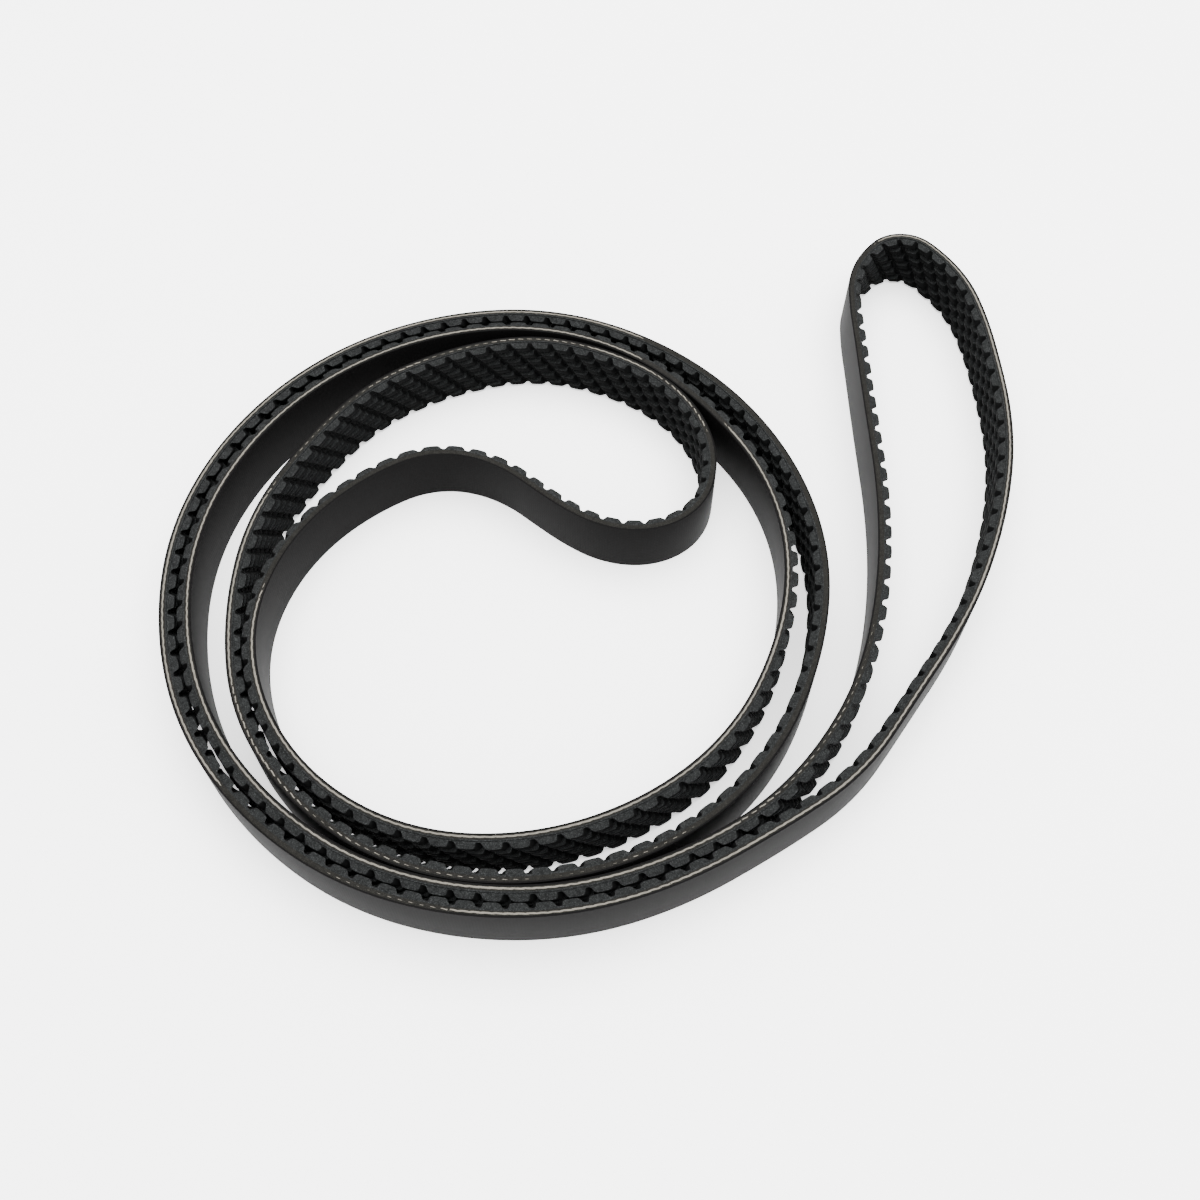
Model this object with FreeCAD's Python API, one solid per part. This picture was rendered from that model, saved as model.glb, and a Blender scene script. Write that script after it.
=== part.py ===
"""Endless six-ribbed drive belt with cross notches, resting on its edge as a doubled coil.

The belt is a sandwich built outwards-in: a thin back cover, two layers of adhesion gum with
the tension cords between them, and six ribs cut across by slanting notches.  Every layer follows the same
closed route, which is drawn at the middle of the cords.  The ribs are on the inside of the
route.  Millimetres, +Z up, origin on the floor under the middle of the coil.
"""

import FreeCAD, Part
import math
import os

from FreeCAD import Vector

# ---- driving dimensions -------------------------------------------------------------------
RIB_COUNT = 6
RIB_PITCH = 3.56
RIB_HEIGHT = 2.2
RIB_HALF_ANGLE = 20.0
GROOVE_FLOOR = 0.5
BELT_THICKNESS = 4.6
COVER_THICKNESS = 0.5
GUM_DEPTH = 1.95
CORD_DIAMETER = 1.0
CORD_DEPTH = 1.15
CORD_COUNT = 17
NOTCH_PITCH = 7.52
NOTCH_START = 0.0
NOTCH_DEPTH = 1.9
NOTCH_MOUTH = 3.1
NOTCH_WAIST = 2.3
NOTCH_WAIST_DEPTH = 1.3
NOTCH_FLOOR = 1.1
NOTCH_SLANT = 34.0

BELT_WIDTH = RIB_COUNT * RIB_PITCH
CORD_PITCH = BELT_WIDTH / (CORD_COUNT - 1)
CORD_BED = CORD_DIAMETER / 2 + 0.01
RIB_ROOT_DEPTH = BELT_THICKNESS - RIB_HEIGHT
SMOOTHING_SWEEPS = 80
PARALLEL_SPREAD = 1e-9
SEW_TOLERANCE = 1e-4

# The belt is folded in two and coiled.  Each row is a point midway between the two strands
# and the spacing of their cords there, from the neck of the outer loop to the inner loop.
DOUBLED_BELT = [
    (70.8, -79.3, 13.6),
    (49.0, -98.7, 8.0),
    (22.5, -113.7, 7.1),
    (-8.0, -122.9, 7.1),
    (-39.0, -123.4, 7.1),
    (-69.5, -115.3, 7.2),
    (-98.0, -96.7, 7.4),
    (-119.5, -70.2, 7.5),
    (-131.2, -38.2, 7.5),
    (-132.6, -1.5, 7.6),
    (-119.3, 35.9, 7.7),
    (-92.9, 65.8, 7.7),
    (-56.7, 83.4, 7.4),
    (-20.0, 85.9, 7.5),
    (12.0, 74.6, 8.2),
    (38.6, 52.2, 10.2),
    (57.7, 21.4, 10.4),
    (64.4, -12.7, 11.6),
    (58.6, -46.7, 12.8),
    (40.8, -79.6, 14.2),
    (11.9, -102.1, 14.6),
    (-22.0, -111.5, 12.9),
    (-56.0, -107.9, 10.4),
    (-86.0, -90.3, 8.1),
    (-104.6, -64.5, 7.3),
    (-111.1, -35.1, 7.7),
]

# The inner loop, from the inner strand round to the outer strand.
INNER_LOOP = [
    (-104.6, -18.3),
    (-93.0, 4.1),
    (-76.8, 19.4),
    (-56.5, 28.5),
    (-37.0, 25.1),
    (-16.0, 9.9),
    (4.0, -0.5),
    (20.1, 0.3),
    (31.3, 8.3),
    (36.6, 24.3),
    (33.0, 42.9),
    (21.0, 59.5),
    (2.0, 71.5),
    (-24.0, 77.7),
    (-52.5, 72.1),
    (-79.5, 56.3),
    (-98.6, 32.1),
    (-111.0, 6.3),
]

# The outer loop, from the outer strand round to the inner strand.
OUTER_LOOP = [
    (91.5, -63.9),
    (112.0, -33.9),
    (128.2, 1.5),
    (136.6, 38.3),
    (136.3, 77.3),
    (127.0, 113.9),
    (110.1, 127.7),
    (94.0, 115.3),
    (89.3, 86.3),
    (89.9, 50.3),
    (90.3, 12.3),
    (85.6, -27.7),
    (76.2, -56.9),
]


# ---- the route ----------------------------------------------------------------------------
def smooth_slopes(points, closed):
    """Slope at each point of the curve of continuous curvature through the points."""
    count = len(points)
    slopes = [Vector(0, 0, 0) for _ in points]
    for _ in range(SMOOTHING_SWEEPS):
        for i in range(count):
            pull = Vector(0, 0, 0)
            weight = 0.0
            for step in (-1, 1):
                j = i + step
                if not closed and not 0 <= j < count:
                    continue
                chord = points[j % count] - points[i]
                gap = chord.Length
                pull += chord * (3.0 * step / gap**2) - slopes[j % count] * (1.0 / gap)
                weight += 2.0 / gap
            slopes[i] = pull * (1.0 / weight)
    return [slope.normalize() for slope in slopes]


def left_of(direction):
    return Vector(-direction.y, direction.x, 0)


def belt_points():
    """Points of the closed route in order, with the ribs' side on the left."""
    middle = [Vector(x, y, 0) for x, y, _ in DOUBLED_BELT]
    inner_strand = []
    outer_strand = []
    for point, along, row in zip(middle, smooth_slopes(middle, False), DOUBLED_BELT):
        half = left_of(along) * (row[2] / 2)
        inner_strand.append(point - half)
        outer_strand.append(point + half)
    inner_loop = [Vector(x, y, 0) for x, y in INNER_LOOP]
    outer_loop = [Vector(x, y, 0) for x, y in OUTER_LOOP]
    return inner_strand + inner_loop + outer_strand[::-1] + outer_loop


class Bend:
    """One circular stretch of the route."""

    def __init__(self, start, along, end):
        chord = end - start
        aside = left_of(along)
        self.start = start
        self.along = along
        self.aside = aside
        self.radius = chord.Length**2 / (2 * chord.dot(aside))
        self.angle = 2 * math.atan2(chord.dot(aside), chord.dot(along))
        self.centre = start + aside * self.radius
        self.length = abs(self.radius * self.angle)

    def frame(self, distance):
        """Point, forward and left directions at a distance from the bend's start."""
        turn = distance / self.radius
        along = self.along * math.cos(turn) + self.aside * math.sin(turn)
        aside = left_of(along)
        return self.centre - aside * self.radius, along, aside


def belt_route():
    """Bends that meet tangentially, two between each pair of points."""
    points = belt_points()
    slopes = smooth_slopes(points, True)
    bends = []
    for i in range(len(points)):
        j = (i + 1) % len(points)
        chord = points[j] - points[i]
        both = slopes[i] + slopes[j]
        spread = 2 * (1 - slopes[i].dot(slopes[j]))
        reach = chord.dot(both)
        if spread < PARALLEL_SPREAD:
            arm = chord.Length**2 / (2 * reach)
        else:
            arm = (math.sqrt(reach**2 + spread * chord.Length**2) - reach) / spread
        joint = (points[i] + points[j] + (slopes[i] - slopes[j]) * arm) * 0.5
        first = Bend(points[i], slopes[i], joint)
        bends.append(first)
        bends.append(Bend(joint, first.frame(first.length)[1], points[j]))
    return bends


# ---- sections carried along the route -----------------------------------------------------
def on_section(bend, depth, height):
    """Place of a section point: depth from the back face, height above the floor."""
    place = bend.start + bend.aside * (depth - CORD_DEPTH)
    return Vector(place.x, place.y, height)


def outline_edges(bend, outline):
    """Closed outline of straight lines, and of arcs where a corner is given as a triple."""
    edges = []
    for first, last in zip(outline, outline[1:] + outline[:1]):
        start = on_section(bend, *first[-1])
        end = on_section(bend, *last[0])
        edges.append(Part.LineSegment(start, end).toShape())
    for corner in outline:
        if len(corner) == 3:
            edges.append(Part.Arc(*(on_section(bend, *p) for p in corner)).toShape())
    return edges


def swept_shell(bends, edges_at):
    """Closed shell of a section's edges carried round every bend."""
    faces = []
    for bend in bends:
        for edge in edges_at(bend):
            turned = edge.revolve(bend.centre, Vector(0, 0, 1), math.degrees(bend.angle))
            faces.extend(turned.Faces)
    shell = Part.Compound(faces)
    shell.sewShape(SEW_TOLERANCE)
    return shell.Shells[0]


def swept_solid(bends, edges_at):
    """Solid ring of a section's edges."""
    return Part.Solid(swept_shell(bends, edges_at))


def cord_height(number):
    return number * CORD_PITCH


def cord_edges(bend, number, radius):
    """Full circle for a buried cord, half circle and its flat for one cut by an edge."""
    height = cord_height(number)
    if 0 < number < CORD_COUNT - 1:
        centre = on_section(bend, CORD_DEPTH, height)
        return [Part.makeCircle(radius, centre, bend.along)]
    return outline_edges(bend, [half_round(number, radius)])


def half_round(number, radius):
    """Half circle standing in from the belt's cut edge."""
    height = cord_height(number)
    inward = 1 if number == 0 else -1
    near = (CORD_DEPTH - inward * radius, height)
    middle = (CORD_DEPTH, height + inward * radius)
    far = (CORD_DEPTH + inward * radius, height)
    return (near, middle, far)


# ---- the belt's layers --------------------------------------------------------------------
def plain_layer(bends, near, far):
    """Flat ribbon as wide as the belt, between two depths from the back face."""
    outline = [
        ((near, 0),),
        ((far, 0),),
        ((far, BELT_WIDTH),),
        ((near, BELT_WIDTH),),
    ]
    return swept_solid(bends, lambda bend: outline_edges(bend, outline))


def back_cover(bends):
    return plain_layer(bends, 0, COVER_THICKNESS)


def outer_gum(bends):
    """Gum between the cover and the cords."""
    return plain_layer(bends, COVER_THICKNESS, CORD_DEPTH - CORD_BED)


def inner_gum(bends):
    """Gum between the cords and the ribs."""
    return plain_layer(bends, CORD_DEPTH + CORD_BED, GUM_DEPTH)


def tension_cord(bends, number):
    """One turn of the cord, cut in half lengthwise where it lies at an edge of the belt."""
    radius = CORD_DIAMETER / 2
    return swept_solid(bends, lambda bend: cord_edges(bend, number, radius))


def rib_outline(number):
    low = number * RIB_PITCH
    high = low + RIB_PITCH
    flank = GROOVE_FLOOR / 2
    tip = flank + RIB_HEIGHT * math.tan(math.radians(RIB_HALF_ANGLE))
    corners = [
        (GUM_DEPTH, low),
        (RIB_ROOT_DEPTH, low),
        (RIB_ROOT_DEPTH, low + flank),
        (BELT_THICKNESS, low + tip),
        (BELT_THICKNESS, high - tip),
        (RIB_ROOT_DEPTH, high - flank),
        (RIB_ROOT_DEPTH, high),
        (GUM_DEPTH, high),
    ]
    return [(corner,) for corner in corners]


def route_frame(bends, distance):
    """Point, forward and left directions at a distance along the whole route."""
    remaining = distance % sum(bend.length for bend in bends)
    for bend in bends:
        if remaining <= bend.length:
            return bend.frame(remaining)
        remaining -= bend.length
    return bends[-1].frame(bends[-1].length)


def notch_outline():
    """Cross section of a notch: half widths along the belt and depths from the back face."""
    overshoot = 0.3
    flare = overshoot * (NOTCH_MOUTH - NOTCH_WAIST) / 2 / NOTCH_WAIST_DEPTH
    half = [
        (NOTCH_MOUTH / 2 + flare, BELT_THICKNESS + overshoot),
        (NOTCH_WAIST / 2, BELT_THICKNESS - NOTCH_WAIST_DEPTH),
        (NOTCH_FLOOR / 2, BELT_THICKNESS - NOTCH_DEPTH),
    ]
    return half + [(-width, depth) for width, depth in reversed(half)]


def notch_cutters(bends, number):
    """Slanting bars of the notches' cross section, lying across one rib."""
    total = sum(bend.length for bend in bends)
    count = round(total / NOTCH_PITCH)
    slant = math.tan(math.radians(NOTCH_SLANT))
    height = (number + 0.5) * RIB_PITCH
    shift = NOTCH_START + (height - BELT_WIDTH / 2) * slant
    up = Vector(0, 0, 1)
    cutters = []
    for notch in range(count):
        point, along, aside = route_frame(bends, notch * total / count + shift)
        lean = along * slant + up
        foot = point - aside * CORD_DEPTH + up * height - lean * (RIB_PITCH / 2)
        corners = [foot + along * width + aside * depth for width, depth in notch_outline()]
        face = Part.Face(Part.makePolygon(corners + corners[:1]))
        cutters.append(face.extrude(lean * RIB_PITCH))
    return cutters


def rib(bends, number):
    outline = rib_outline(number)
    ring = swept_solid(bends, lambda bend: outline_edges(bend, outline))
    return ring.cut(notch_cutters(bends, number)).Solids[0]


def write_node(shape, name):
    shape.exportStep("parts/" + name + ".step")


def main():
    os.makedirs("parts", exist_ok=True)
    bends = belt_route()
    write_node(back_cover(bends), "back_cover")
    write_node(outer_gum(bends), "adhesion_gum_outer")
    write_node(inner_gum(bends), "adhesion_gum_inner")
    for number in range(CORD_COUNT):
        write_node(tension_cord(bends, number), f"tension_cord_{number + 1:02d}")
    for number in range(RIB_COUNT):
        write_node(rib(bends, number), f"rib_{number + 1}")


if __name__ == "__main__":
    main()
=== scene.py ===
"""Cogged six-ribbed drive belt standing on its edge in a doubled coil, on a pale studio floor."""

import math

import bpy
import numpy as np
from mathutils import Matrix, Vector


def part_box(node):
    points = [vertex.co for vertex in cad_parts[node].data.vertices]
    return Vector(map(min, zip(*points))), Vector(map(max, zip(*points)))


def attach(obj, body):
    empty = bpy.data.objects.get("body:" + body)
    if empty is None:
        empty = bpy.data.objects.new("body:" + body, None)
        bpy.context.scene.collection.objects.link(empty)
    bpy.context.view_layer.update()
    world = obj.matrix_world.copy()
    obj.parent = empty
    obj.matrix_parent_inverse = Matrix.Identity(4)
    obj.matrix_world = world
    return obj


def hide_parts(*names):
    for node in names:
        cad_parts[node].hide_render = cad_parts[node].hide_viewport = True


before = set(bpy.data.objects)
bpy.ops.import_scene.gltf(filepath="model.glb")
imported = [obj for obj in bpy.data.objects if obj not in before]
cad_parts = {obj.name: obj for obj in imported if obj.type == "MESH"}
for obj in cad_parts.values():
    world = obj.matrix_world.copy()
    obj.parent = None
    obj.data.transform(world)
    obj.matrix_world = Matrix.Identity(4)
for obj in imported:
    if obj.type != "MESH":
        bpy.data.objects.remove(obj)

bl_info = {
    "name": "Cogged ribbed belt",
    "version": (1, 0, 0),
    "blender": (4, 5, 0),
    "location": "View3D > Sidebar > Belt",
    "description": "Builds a coiled multi-rib drive belt with cut edges, cords and cross notches",
    "category": "Add Mesh",
}

MM = 0.001
BODY = "root"
RIB_NODES = sorted(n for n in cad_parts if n.startswith("rib_"))
CORD_NODES = sorted(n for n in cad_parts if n.startswith("tension_cord_"))

# ---- sizes of the belt, millimetres ---------------------------------------------------------
BELT_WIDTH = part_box("back_cover")[1].z / MM
RIB_PITCH = BELT_WIDTH / len(RIB_NODES)
BELT_THICKNESS = 4.6
COVER_THICKNESS = 0.5
GUM_DEPTH = 1.95
CORD_DEPTH = 1.15
CORD_RADIUS = 0.5
RIB_ROOT_DEPTH = 2.4
RIB_HALF_ANGLE = 20.0
GROOVE_FLOOR = 0.5
NOTCH_PITCH = 7.52
NOTCH_START = 3.2
NOTCH_DEPTH = 1.9
NOTCH_SLANT = 34.0

# The belt is folded in two and coiled.  Each row is a point midway between the two strands
# and the spacing of their cords there, from the neck of the outer loop to the inner loop.
DOUBLED_BELT = [
    (70.8, -79.3, 13.6),
    (49.0, -98.7, 8.0),
    (22.5, -113.7, 7.1),
    (-8.0, -122.9, 7.1),
    (-39.0, -123.4, 7.1),
    (-69.5, -115.3, 7.2),
    (-98.0, -96.7, 7.4),
    (-119.5, -70.2, 7.5),
    (-131.2, -38.2, 7.5),
    (-132.6, -1.5, 7.6),
    (-119.3, 35.9, 7.7),
    (-92.9, 65.8, 7.7),
    (-56.7, 83.4, 7.4),
    (-20.0, 85.9, 7.5),
    (12.0, 74.6, 8.2),
    (38.6, 52.2, 10.2),
    (57.7, 21.4, 10.4),
    (64.4, -12.7, 11.6),
    (58.6, -46.7, 12.8),
    (40.8, -79.6, 14.2),
    (11.9, -102.1, 14.6),
    (-22.0, -111.5, 12.9),
    (-56.0, -107.9, 10.4),
    (-86.0, -90.3, 8.1),
    (-104.6, -64.5, 7.3),
    (-111.1, -35.1, 7.7),
]

# The inner loop, from the inner strand round to the outer strand.
INNER_LOOP = [
    (-104.6, -18.3),
    (-93.0, 4.1),
    (-76.8, 19.4),
    (-56.5, 28.5),
    (-37.0, 25.1),
    (-16.0, 9.9),
    (4.0, -0.5),
    (20.1, 0.3),
    (31.3, 8.3),
    (36.6, 24.3),
    (33.0, 42.9),
    (21.0, 59.5),
    (2.0, 71.5),
    (-24.0, 77.7),
    (-52.5, 72.1),
    (-79.5, 56.3),
    (-98.6, 32.1),
    (-111.0, 6.3),
]

# The outer loop, from the outer strand round to the inner strand.
OUTER_LOOP = [
    (91.5, -63.9),
    (112.0, -33.9),
    (128.2, 1.5),
    (136.6, 38.3),
    (136.3, 77.3),
    (127.0, 113.9),
    (110.1, 127.7),
    (94.0, 115.3),
    (89.3, 86.3),
    (89.9, 50.3),
    (90.3, 12.3),
    (85.6, -27.7),
    (76.2, -56.9),
]

# How much of the top edge cord the cut laid bare: distance along the route and share, 0 to 1.
CORD_SHOWING = [
    (0, 0.55), (35, 0.6), (42, 1), (470, 1), (480, 0), (508, 0), (518, 1), (835, 1),
    (850, 0), (1040, 0), (1050, 0.75), (1098, 0.75), (1105, 0.65), (1170, 0.65), (1185, 0.5),
    (1228, 0.5), (1240, 0.95), (1295, 0.95), (1305, 0.8), (1350, 0.75), (1362, 0.55),
    (1470, 0.5), (1485, 0), (1684, 0), (1694, 1), (1980, 1), (1990, 0), (2020, 0), (2028, 0.5),
    (2062, 0.55), (2072, 1), (2436, 1), (2448, 0), (2600, 0), (2608, 0.55), (2640, 0.55),
]


# ---- the route ------------------------------------------------------------------------------
def left_of(directions):
    """Directions turned a quarter turn anticlockwise."""
    return np.stack([-directions[..., 1], directions[..., 0]], axis=-1)


def smooth_slopes(points, closed):
    """Unit slopes of the curve of continuous curvature through the points, from a linear system.

    At each point, three times the chord over its squared length, summed over both neighbours
    with their sign, equals the neighbours' slopes over the chord lengths plus twice its own.
    """
    count = len(points)
    matrix = np.zeros((count, count))
    pull = np.zeros((count, 2))
    for i in range(count):
        for step in (-1, 1):
            j = i + step
            if not closed and not 0 <= j < count:
                continue
            chord = points[j % count] - points[i]
            gap = np.linalg.norm(chord)
            matrix[i, j % count] += 1 / gap
            matrix[i, i] += 2 / gap
            pull[i] += 3 * step * chord / gap**2
    slopes = np.linalg.solve(matrix, pull)
    return slopes / np.linalg.norm(slopes, axis=1, keepdims=True)


def belt_points():
    """Points of the closed route in order, with the ribs' side on the left."""
    rows = np.array(DOUBLED_BELT)
    middle = rows[:, :2]
    half = left_of(smooth_slopes(middle, False)) * rows[:, 2:] / 2
    inner_strand = middle - half
    outer_strand = middle + half
    return np.concatenate([inner_strand, INNER_LOOP, outer_strand[::-1], OUTER_LOOP])


def bend_rows(start, along, end):
    """Signed radius and length of the circular arcs from start, leaving in the direction along."""
    chord = end - start
    aside = left_of(along)
    across = np.sum(chord * aside, axis=1)
    ahead = np.sum(chord * along, axis=1)
    radius = np.sum(chord**2, axis=1) / (2 * across)
    angle = 2 * np.arctan2(across, ahead)
    return radius, np.abs(radius * angle)


def turned(along, angle):
    """Directions turned anticlockwise by an angle."""
    return along * np.cos(angle)[:, None] + left_of(along) * np.sin(angle)[:, None]


class Route:
    """The closed route as pairs of tangent arcs, read by distance."""

    def __init__(self):
        points = belt_points()
        slopes = smooth_slopes(points, True)
        after = np.roll(points, -1, axis=0)
        slopes_after = np.roll(slopes, -1, axis=0)
        chord = after - points
        reach = np.sum(chord * (slopes + slopes_after), axis=1)
        spread = 2 * (1 - np.sum(slopes * slopes_after, axis=1))
        size = np.sum(chord**2, axis=1)
        arm = size / (np.sqrt(reach**2 + spread * size) + reach)
        joint = (points + after + (slopes - slopes_after) * arm[:, None]) / 2
        radius_a, length_a = bend_rows(points, slopes, joint)
        at_joint = turned(slopes, length_a / radius_a)
        radius_b, length_b = bend_rows(joint, at_joint, after)
        self.start = np.stack([points, joint], axis=1).reshape(-1, 2)
        self.along = np.stack([slopes, at_joint], axis=1).reshape(-1, 2)
        self.radius = np.stack([radius_a, radius_b], axis=1).reshape(-1)
        self.before = np.concatenate([[0], np.cumsum(np.stack([length_a, length_b], axis=1))])
        self.length = self.before[-1]

    def place(self, distance, depth, height):
        """Points at a distance along the route, a depth from the back face and a height."""
        distance, depth, height = np.broadcast_arrays(distance, depth, height)
        flat = np.mod(distance.ravel(), self.length)
        bend = np.searchsorted(self.before, flat, side="right") - 1
        bend = np.clip(bend, 0, len(self.radius) - 1)
        radius = self.radius[bend]
        along = self.along[bend]
        centre = self.start[bend] + left_of(along) * radius[:, None]
        aside = left_of(turned(along, (flat - self.before[bend]) / radius))
        plan = centre + aside * (depth.ravel() - CORD_DEPTH - radius)[:, None]
        points = np.column_stack([plan, height.ravel()])
        return points.reshape(distance.shape + (3,)) * MM


ROUTE = Route()
NOTCH_COUNT = round(ROUTE.length / NOTCH_PITCH)
COG_PITCH = ROUTE.length / NOTCH_COUNT


# ---- meshes ---------------------------------------------------------------------------------
def closed_grid(name, points, across, along):
    """Mesh of a grid of points that closes on itself both ways, with distances as its UV map.

    points is steps along the route by steps round the section; along and across are the
    distances in metres at the grid lines, one longer than the grid each way.
    """
    rows, columns = points.shape[:2]
    index = np.arange(rows * columns).reshape(rows, columns)
    right = np.roll(index, -1, axis=0)
    quads = np.stack([index, right, np.roll(right, -1, axis=1), np.roll(index, -1, axis=1)], -1)
    u = np.stack([along[:-1], along[1:], along[1:], along[:-1]], -1)[:, None, :]
    v = np.stack([across[:-1], across[:-1], across[1:], across[1:]], -1)[None, :, :]
    uv = np.stack(np.broadcast_arrays(u, v), -1).reshape(-1, 4, 2)
    quads = quads.reshape(-1, 4)
    corners = points.reshape(-1, 3)
    a, b, c = (corners[quads[:, k]] for k in range(3))
    if np.sum(np.cross(b - a, c - a) * a) < 0:
        quads = quads[:, ::-1]
        uv = uv[:, ::-1]
    mesh = bpy.data.meshes.new(name)
    mesh.from_pydata(corners.tolist(), [], quads.tolist())
    layer = mesh.uv_layers.new(name="belt")
    layer.uv.foreach_set("vector", np.ascontiguousarray(uv).ravel())
    mesh.validate()
    return mesh


def add_piece(name, mesh, material, nodes, crease_degrees):
    """Object of a mesh that rides on the belt and stands for some nodes."""
    mesh.shade_smooth()
    mesh.set_sharp_from_angle(angle=math.radians(crease_degrees))
    mesh.materials.append(material)
    piece = bpy.data.objects.new(name, mesh)
    bpy.context.scene.collection.objects.link(piece)
    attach(piece, BODY)
    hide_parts(*nodes)
    return piece


def section_steps(section):
    """Distances round a closed section, one more than it has points."""
    closed = np.vstack([section, section[:1]])
    return np.concatenate([[0], np.cumsum(np.linalg.norm(np.diff(closed, axis=0), axis=1))])


def ring_of_section(name, section, step):
    """A section of (depth, height) points carried along the whole route."""
    count = round(ROUTE.length / step)
    along = np.linspace(0, ROUTE.length, count + 1)
    points = ROUTE.place(along[:-1, None], section[None, :, 0], section[None, :, 1])
    return closed_grid(name, points, section_steps(section) * MM, along * MM)


def rounded_box(near, far, low, high, corner):
    """Outline of a rectangle with small rounded corners, by arcs of four points."""
    arc = np.radians([0, 30, 60, 90])
    outline = []
    corners = [(far, high, 0), (near, high, 90), (near, low, 180), (far, low, 270)]
    for depth, height, start in corners:
        turn = arc + math.radians(start)
        middle_depth = depth - corner * math.copysign(1, math.cos(turn[1]))
        middle_height = height - corner * math.copysign(1, math.sin(turn[1]))
        outline.extend(zip(middle_depth + corner * np.cos(turn),
                           middle_height + corner * np.sin(turn)))
    return np.array(outline)


def wander(distance, sizes, seed):
    """Slow unevenness along the belt: a sum of waves that fit the route's length."""
    draw = np.random.default_rng(seed)
    total = np.zeros_like(distance)
    for wavelength, size in sizes:
        turns = round(ROUTE.length / wavelength)
        total += size * np.sin(2 * math.pi * (turns * distance / ROUTE.length + draw.random()))
    return total


def notch_surface(phase):
    """Depth of the ribs' tips at a distance from a notch's middle: a flat-bottomed smooth dip."""
    half_width = 1.12
    steepness = 6
    return BELT_THICKNESS - NOTCH_DEPTH / (1 + (np.abs(phase) / half_width) ** steepness)


def rib_section(top, low, high):
    """Depths and heights round one rib whose tip is at the given depths.

    The base is square, the flanks lean in by the rib's half angle up to the tip, and the tip's
    corners are rounded off by a short chamfer of two steps.
    """
    lean = math.tan(math.radians(RIB_HALF_ANGLE))
    rise = top - RIB_ROOT_DEPTH
    corner = np.minimum(0.22, rise * 0.45)
    floor = GROOVE_FLOOR / 2
    depths = [0 * top + GUM_DEPTH, 0 * top + RIB_ROOT_DEPTH - 0.02, 0 * top + RIB_ROOT_DEPTH]
    insets = [0 * top, 0 * top, 0 * top + floor]
    for share in (0.12, 0.55):
        depths.append(RIB_ROOT_DEPTH + rise * share)
        insets.append(floor + rise * share * lean)
    depths.append(top - corner)
    insets.append(floor + (rise - corner) * lean)
    depths.append(top - 0.25 * corner)
    insets.append(floor + (rise - corner) * lean + 0.35 * corner)
    depths.append(top)
    insets.append(floor + (rise - corner) * lean + corner)
    insets = np.stack(insets, -1)
    depths = np.stack(depths, -1)
    heights = np.concatenate([low + insets, (high - insets)[..., ::-1]], axis=-1)
    return np.concatenate([depths, depths[..., ::-1]], axis=-1), heights


def rib_mesh(number):
    """One notched rib: a grid whose lines across the rib lean with the notches."""
    steps = np.array([0, 0.4, 0.72, 0.96, 1.16, 1.4, 1.85, COG_PITCH / 2])
    phase = np.concatenate([-steps[:0:-1], steps[:-1]])
    notches = NOTCH_START + np.arange(NOTCH_COUNT) * COG_PITCH
    along = (notches[:, None] + phase).ravel()
    top = np.tile(notch_surface(phase), NOTCH_COUNT)
    top = top + wander(along, [(61, 0.02), (23, 0.02), (9.1, 0.015)], number)
    low = number * RIB_PITCH
    depths, heights = rib_section(top, low, low + RIB_PITCH)
    slant = math.tan(math.radians(NOTCH_SLANT))
    distance = along[:, None] + (heights - BELT_WIDTH / 2) * slant
    points = ROUTE.place(distance, depths, heights)
    middle = len(phase) // 2
    section = np.column_stack([depths[middle + 5], heights[middle + 5]])
    edges = np.append(along, along[0] + ROUTE.length)
    return closed_grid(f"ribbed_rubber_{number + 1}", points, section_steps(section) * MM,
                       edges * MM)


def edge_cord_mesh(name, top_edge):
    """The cord laid bare along a cut edge: a three-ply twist that sinks into the gum.

    The radius has three rounded lobes that turn once per lay; the middle line sinks below the
    cut face where the cut left rubber over it, so that only the lobes' crests show there.
    """
    lay = 9.3
    count = round(ROUTE.length / 0.62)
    distance = np.linspace(0, ROUTE.length, count + 1)
    turns = round(ROUTE.length / lay)
    around = np.linspace(0, 2 * math.pi, 13)[:-1]
    twist = around[None, :] - 2 * math.pi * turns * distance[:-1, None] / ROUTE.length
    lobes = np.abs(np.cos(1.5 * twist))
    radius = CORD_RADIUS * (0.74 + 0.30 * lobes)
    knots = np.array(CORD_SHOWING)
    share = np.interp(distance[:-1], knots[:, 0], knots[:, 1], period=ROUTE.length)
    share = share + wander(distance[:-1], [(97, 0.06), (41, 0.05), (17, 0.05)], 11)
    sink = 0.61 - 0.25 * share
    sway = wander(distance[:-1], [(83, 0.04), (29, 0.03)], 12)
    depth = CORD_DEPTH + sway[:, None] + radius * np.cos(around)
    rise = -sink[:, None] + radius * np.sin(around)
    height = BELT_WIDTH + rise if top_edge else -np.minimum(rise, 0)
    points = ROUTE.place(distance[:-1, None], depth, height)
    return closed_grid(name, points, np.append(around, 2 * math.pi) * CORD_RADIUS * MM,
                       distance * MM)


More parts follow.
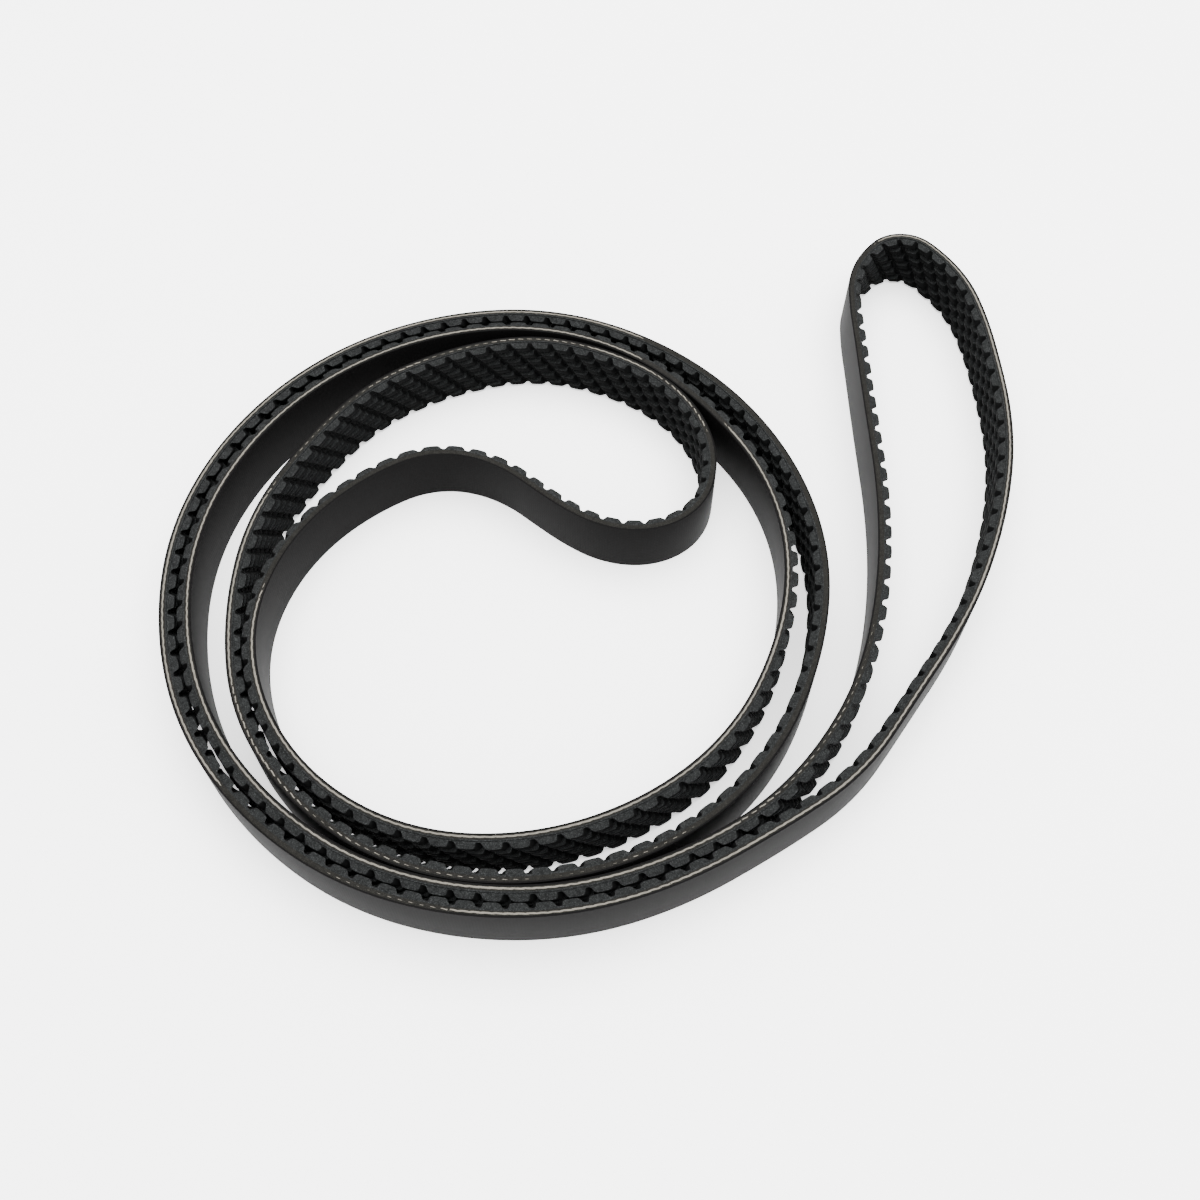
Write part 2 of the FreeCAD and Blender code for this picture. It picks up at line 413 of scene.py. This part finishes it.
# ---- materials ------------------------------------------------------------------------------
class Shader:
    """A material's node tree with short ways to add nodes and join them."""

    def __init__(self, name, roughness, specular=0.5):
        self.material = bpy.data.materials.new(name)
        self.material.use_nodes = True
        self.tree = self.material.node_tree
        self.surface = self.tree.nodes["Principled BSDF"]
        self.surface.inputs["Roughness"].default_value = roughness
        self.surface.inputs["Specular IOR Level"].default_value = specular

    def add(self, kind, **values):
        node = self.tree.nodes.new(kind)
        for key, value in values.items():
            if key in node.inputs:
                node.inputs[key].default_value = value
            else:
                setattr(node, key, value)
        return node

    def join(self, source, target):
        self.tree.links.new(source, target)

    def noise(self, vector, scale, detail=2.0, roughness=0.5):
        node = self.add("ShaderNodeTexNoise")
        node.inputs["Scale"].default_value = scale
        node.inputs["Detail"].default_value = detail
        node.inputs["Roughness"].default_value = roughness
        self.join(vector, node.inputs["Vector"])
        return node.outputs["Fac"]

    def ramp(self, value, low, high, low_colour, high_colour):
        node = self.add("ShaderNodeValToRGB")
        node.color_ramp.elements[0].position = low
        node.color_ramp.elements[1].position = high
        node.color_ramp.elements[0].color = (*low_colour, 1)
        node.color_ramp.elements[1].color = (*high_colour, 1)
        self.join(value, node.inputs["Fac"])
        return node.outputs["Color"]

    def mix(self, share, first, second):
        node = self.add("ShaderNodeMix", data_type="RGBA")
        self.join(share, node.inputs["Factor"])
        self.join(first, node.inputs["A"])
        self.join(second, node.inputs["B"])
        return node.outputs["Result"]

    def colour(self, source):
        self.join(source, self.surface.inputs["Base Color"])

    def bump(self, height, strength, distance):
        node = self.add("ShaderNodeBump")
        node.inputs["Strength"].default_value = strength
        node.inputs["Distance"].default_value = distance
        self.join(height, node.inputs["Height"])
        self.join(node.outputs["Normal"], self.surface.inputs["Normal"])

    def object_vector(self, scale):
        source = self.add("ShaderNodeTexCoord").outputs["Object"]
        return self.scaled(source, scale)

    def belt_vector(self, scale):
        source = self.add("ShaderNodeUVMap", uv_map="belt").outputs["UV"]
        return self.scaled(source, scale)

    def scaled(self, source, scale):
        node = self.add("ShaderNodeMapping")
        node.inputs["Scale"].default_value = scale
        self.join(source, node.inputs["Vector"])
        return node.outputs["Vector"]


def tinted(colour, factor):
    return tuple(min(1.0, part * factor) for part in colour)


def ground_rubber(colour):
    """Rib rubber: ground matt, with pale ends of short fibres that lie across the belt on the upward
    cut face; faces that turn away from up get a darker colour, a painted shade of light falling from
    above.
    """
    shader = Shader("ground rib rubber", 0.8, 0.03)
    grain = shader.object_vector((1, 1, 0.45))
    patches = shader.noise(grain, 900, 4, 0.6)
    base = shader.ramp(patches, 0.3, 0.75, tinted(colour, 0.7), tinted(colour, 1.5))
    specks = shader.noise(grain, 4200, 2, 0.6)
    mask = shader.ramp(specks, 0.5, 0.68, (0, 0, 0), (1, 1, 1))
    pale = shader.ramp(patches, 0.2, 0.8, tinted(colour, 2.5), tinted(colour, 7))
    cut = shader.mix(mask, base, pale)
    # Darker colour for faces that turn away from straight up: painted shade, not a different rubber.
    shaded_side_colour = shader.ramp(patches, 0.3, 0.75, tinted(colour, 0.18), tinted(colour, 0.55))
    facing = shader.add("ShaderNodeSeparateXYZ")
    shader.join(shader.add("ShaderNodeNewGeometry").outputs["Normal"], facing.inputs[0])
    # Mask from how far each face turns up: the upward cut face keeps its real fibre ends, and the
    # other faces take the painted shade.
    edge = shader.ramp(facing.outputs["Z"], 0.55, 0.9, (0, 0, 0), (1, 1, 1))
    shader.colour(shader.mix(edge, shaded_side_colour, cut))
    shader.bump(patches, 0.35, 0.00025)
    return shader.material


def gum_rubber(colour):
    """Cushion rubber round the cords: a little warmer than the ribs, smeared by the cut."""
    shader = Shader("cushion gum", 0.75, 0.03)
    grain = shader.object_vector((1, 1, 1))
    patches = shader.noise(grain, 1100, 4, 0.6)
    smear = shader.noise(grain, 3600, 2, 0.6)
    mask = shader.ramp(smear, 0.48, 0.7, (0, 0, 0), (1, 1, 1))
    dark = shader.ramp(patches, 0.3, 0.7, tinted(colour, 0.75), tinted(colour, 1.25))
    pale = shader.ramp(patches, 0.3, 0.7, tinted(colour, 1.6), tinted(colour, 3.6))
    shader.colour(shader.mix(mask, dark, pale))
    shader.bump(patches, 0.3, 0.0002)
    return shader.material


def cover_rubber(colour):
    """Back cover: smooth satin rubber with a faint print of the woven wrap it was cured in."""
    shader = Shader("back cover rubber", 0.55, 0.022)
    weave = shader.belt_vector((1, 1, 1))
    warp = shader.add("ShaderNodeTexWave", wave_type="BANDS", bands_direction="X")
    warp.inputs["Scale"].default_value = 330
    warp.inputs["Distortion"].default_value = 0.6
    weft = shader.add("ShaderNodeTexWave", wave_type="BANDS", bands_direction="Y")
    weft.inputs["Scale"].default_value = 330
    weft.inputs["Distortion"].default_value = 0.6
    for wave in (warp, weft):
        shader.join(weave, wave.inputs["Vector"])
    cloth = shader.add("ShaderNodeMath", operation="MULTIPLY")
    shader.join(warp.outputs["Fac"], cloth.inputs[0])
    shader.join(weft.outputs["Fac"], cloth.inputs[1])
    cloud = shader.noise(shader.object_vector((1, 1, 1)), 45, 3, 0.55)
    fine = shader.noise(shader.object_vector((1, 1, 1)), 2500, 2, 0.5)
    base = shader.ramp(cloud, 0.3, 0.7, tinted(colour, 0.85), tinted(colour, 1.15))
    dusty = shader.ramp(fine, 0.5, 0.8, tinted(colour, 1.0), tinted(colour, 1.7))
    shader.colour(shader.mix(cloth.outputs["Value"], base, dusty))
    shader.bump(cloth.outputs["Value"], 0.25, 0.00008)
    return shader.material


def twisted_fibre(colour):
    """Polyester cord: beige plies with fine filaments along them."""
    shader = Shader("cord fibre", 0.9, 0.03)
    strands = shader.belt_vector((0.25, 3, 1))
    filaments = shader.noise(strands, 2600, 2, 0.5)
    soil = shader.noise(shader.object_vector((1, 1, 1)), 220, 2, 0.5)
    clean = shader.ramp(filaments, 0.3, 0.7, tinted(colour, 0.6), tinted(colour, 1.15))
    soiled = shader.ramp(filaments, 0.3, 0.7, tinted(colour, 0.4), tinted(colour, 0.85))
    shader.colour(shader.mix(soil, clean, soiled))
    shader.bump(filaments, 0.4, 0.0001)
    return shader.material


# ---- settings a user would change -------------------------------------------------------------
def colour_property(name, description, default):
    return bpy.props.FloatVectorProperty(
        name=name, description=description, subtype="COLOR", size=3, min=0, max=1, default=default
    )


class BeltRubberSettings(bpy.types.PropertyGroup):
    """Colours and finishes of the belt's layers."""

    rib_colour: colour_property("Rib colour", "Ground rubber of the ribs", (0.0052, 0.0055, 0.0055))
    gum_colour: colour_property("Gum colour", "Cushion round the cords", (0.0060, 0.0058, 0.0052))
    cover_colour: colour_property("Cover colour", "Smooth back", (0.0024, 0.0023, 0.0023))
    cord_colour: colour_property("Cord colour", "Cord fibre at the edge", (0.135, 0.126, 0.108))
    route_step: bpy.props.FloatProperty(
        name="Route step", description="Spacing of the sections along the belt in millimetres",
        default=1.9, min=0.5, max=6,
    )


class BeltStageSettings(bpy.types.PropertyGroup):
    """Floor, light and camera."""

    floor_colour: colour_property("Floor colour", "Plain floor", (0.93, 0.93, 0.93))
    floor_size: bpy.props.FloatProperty(
        name="Floor size", description="Side of the square floor", default=8.0, unit="LENGTH"
    )
    floor_glow: bpy.props.FloatProperty(
        name="Floor glow", description="Light of the backlit floor itself", default=0.9
    )
    sky_strength: bpy.props.FloatProperty(
        name="Sky strength", description="Even light from all round", default=2.8
    )
    lamp_power: bpy.props.FloatProperty(
        name="Lamp power", description="Power of the overhead soft light", default=75.0,
        subtype="POWER",
    )
    lens: bpy.props.FloatProperty(
        name="Lens", description="Focal length of the camera", default=40.5, unit="CAMERA"
    )
    camera_place: bpy.props.FloatVectorProperty(
        name="Camera place", description="Where the camera stands", subtype="TRANSLATION",
        unit="LENGTH", default=(-0.0008, -0.2410, 0.38236),
    )
    camera_tilt: bpy.props.FloatProperty(
        name="Camera tilt", description="Turn of the camera up from straight down",
        subtype="ANGLE", default=math.radians(30.5),
    )


# ---- operators --------------------------------------------------------------------------------
class BELT_OT_back_cover(bpy.types.Operator):
    """Smooth outer skin of the belt"""

    bl_idname = "belt.back_cover"
    bl_label = "Back Cover"

    def execute(self, context):
        rubber = context.scene.belt_rubber
        section = rounded_box(0, COVER_THICKNESS, 0, BELT_WIDTH, 0.12)
        mesh = ring_of_section("back_cover_skin", section, rubber.route_step)
        add_piece("back_cover_skin", mesh, cover_rubber(rubber.cover_colour),
                  ["back_cover"], 50)
        return {"FINISHED"}


class BELT_OT_adhesion_gum(bpy.types.Operator):
    """Cushion rubber that holds the cords"""

    bl_idname = "belt.adhesion_gum"
    bl_label = "Adhesion Gum"

    def execute(self, context):
        rubber = context.scene.belt_rubber
        section = rounded_box(COVER_THICKNESS, GUM_DEPTH, 0, BELT_WIDTH, 0.05)
        mesh = ring_of_section("cushion_gum", section, rubber.route_step)
        add_piece("cushion_gum", mesh, gum_rubber(rubber.gum_colour),
                  ["adhesion_gum_outer", "adhesion_gum_inner"], 50)
        return {"FINISHED"}


class BELT_OT_cords(bpy.types.Operator):
    """Twisted cord turns laid bare at both cut edges, and the finish of the buried turns"""

    bl_idname = "belt.cords"
    bl_label = "Tension Cords"

    def execute(self, context):
        fibre = twisted_fibre(context.scene.belt_rubber.cord_colour)
        for node, top_edge in ((CORD_NODES[0], False), (CORD_NODES[-1], True)):
            name = "edge_cord_top" if top_edge else "edge_cord_bottom"
            add_piece(name, edge_cord_mesh(name, top_edge), fibre, [node], 80)
        buried = plain_fibre(context.scene.belt_rubber.cord_colour)
        for node in CORD_NODES[1:-1]:
            paint_node(node, buried)
        return {"FINISHED"}


class BELT_OT_ribs(bpy.types.Operator):
    """Ribs with their slanting cross notches"""

    bl_idname = "belt.ribs"
    bl_label = "Notched Ribs"

    def execute(self, context):
        rubber = ground_rubber(context.scene.belt_rubber.rib_colour)
        for number, node in enumerate(RIB_NODES):
            mesh = rib_mesh(number)
            add_piece(mesh.name, mesh, rubber, [node], 40)
        return {"FINISHED"}


class BELT_OT_stage(bpy.types.Operator):
    """Pale floor, soft light and camera"""

    bl_idname = "belt.stage"
    bl_label = "Studio Stage"

    def execute(self, context):
        stage = context.scene.belt_stage
        floor = add_floor(stage.floor_size, stage.floor_colour, stage.floor_glow)
        lamp = add_lamp("overhead softbox", (0.15, 0.35, 1.3), 1.6, stage.lamp_power)
        camera = add_camera(stage)
        light_sky(stage.sky_strength)
        return {"FINISHED"}


def plain_fibre(colour):
    """Buried cord: the same fibre on a node that has no belt map."""
    shader = Shader("buried cord fibre", 0.9, 0.03)
    grain = shader.noise(shader.object_vector((1, 1, 1)), 2600, 2, 0.5)
    shader.colour(shader.ramp(grain, 0.3, 0.7, tinted(colour, 0.6), tinted(colour, 1.1)))
    shader.bump(grain, 0.3, 0.0001)
    return shader.material


def paint_node(node, material):
    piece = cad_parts[node]
    if piece.material_slots:
        for slot in piece.material_slots:
            slot.material = material
    else:
        piece.data.materials.append(material)


def add_floor(size, colour, glow):
    half = size / 2
    mesh = bpy.data.meshes.new("studio_floor")
    corners = [(-half, -half, 0), (half, -half, 0), (half, half, 0), (-half, half, 0)]
    mesh.from_pydata(corners, [], [(0, 1, 2, 3)])
    shader = Shader("pale floor", 0.9, 0.1)
    shader.surface.inputs["Base Color"].default_value = (*colour, 1)
    shader.surface.inputs["Emission Color"].default_value = (1, 1, 1, 1)
    shader.surface.inputs["Emission Strength"].default_value = glow
    mesh.materials.append(shader.material)
    floor = bpy.data.objects.new("studio_floor", mesh)
    bpy.context.scene.collection.objects.link(floor)
    return floor


def add_lamp(name, place, size, power):
    light = bpy.data.lights.new(name, "AREA")
    light.shape = "SQUARE"
    light.size = size
    light.energy = power
    lamp = bpy.data.objects.new(name, light)
    lamp.location = place
    bpy.context.scene.collection.objects.link(lamp)
    return lamp


def add_camera(stage):
    data = bpy.data.cameras.new("studio camera")
    data.lens = stage.lens
    data.clip_start = 0.01
    camera = bpy.data.objects.new("studio camera", data)
    camera.location = stage.camera_place
    camera.rotation_euler = (stage.camera_tilt, 0, 0)
    bpy.context.scene.collection.objects.link(camera)
    bpy.context.scene.camera = camera
    return camera


def light_sky(strength):
    world = bpy.data.worlds.new("studio sky")
    world.use_nodes = True
    sky = world.node_tree.nodes["Background"]
    sky.inputs["Color"].default_value = (1, 1, 1, 1)
    sky.inputs["Strength"].default_value = strength
    bpy.context.scene.world = world


class BELT_PT_panel(bpy.types.Panel):
    """Sidebar panel that lists the belt's pieces"""

    bl_idname = "BELT_PT_panel"
    bl_label = "Cogged Belt"
    bl_space_type = "VIEW_3D"
    bl_region_type = "UI"
    bl_category = "Belt"

    def draw(self, context):
        rubber = context.scene.belt_rubber
        for name in ("rib_colour", "gum_colour", "cover_colour", "cord_colour", "route_step"):
            self.layout.prop(rubber, name)
        stage = context.scene.belt_stage
        for name in ("floor_colour", "floor_size", "floor_glow", "sky_strength", "lamp_power", "lens",
                     "camera_place", "camera_tilt"):
            self.layout.prop(stage, name)
        for operator in OPERATORS:
            self.layout.operator(operator.bl_idname)


OPERATORS = (BELT_OT_back_cover, BELT_OT_adhesion_gum, BELT_OT_cords, BELT_OT_ribs,
             BELT_OT_stage)
CLASSES = (BeltRubberSettings, BeltStageSettings) + OPERATORS + (BELT_PT_panel,)


def register():
    for made in CLASSES:
        bpy.utils.register_class(made)
    bpy.types.Scene.belt_rubber = bpy.props.PointerProperty(type=BeltRubberSettings)
    bpy.types.Scene.belt_stage = bpy.props.PointerProperty(type=BeltStageSettings)


def unregister():
    del bpy.types.Scene.belt_stage
    del bpy.types.Scene.belt_rubber
    for made in reversed(CLASSES):
        bpy.utils.unregister_class(made)


def main():
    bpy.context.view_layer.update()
    register()
    bpy.ops.belt.back_cover()
    bpy.ops.belt.adhesion_gum()
    bpy.ops.belt.cords()
    bpy.ops.belt.ribs()
    bpy.ops.belt.stage()


if __name__ == "__main__":
    main()
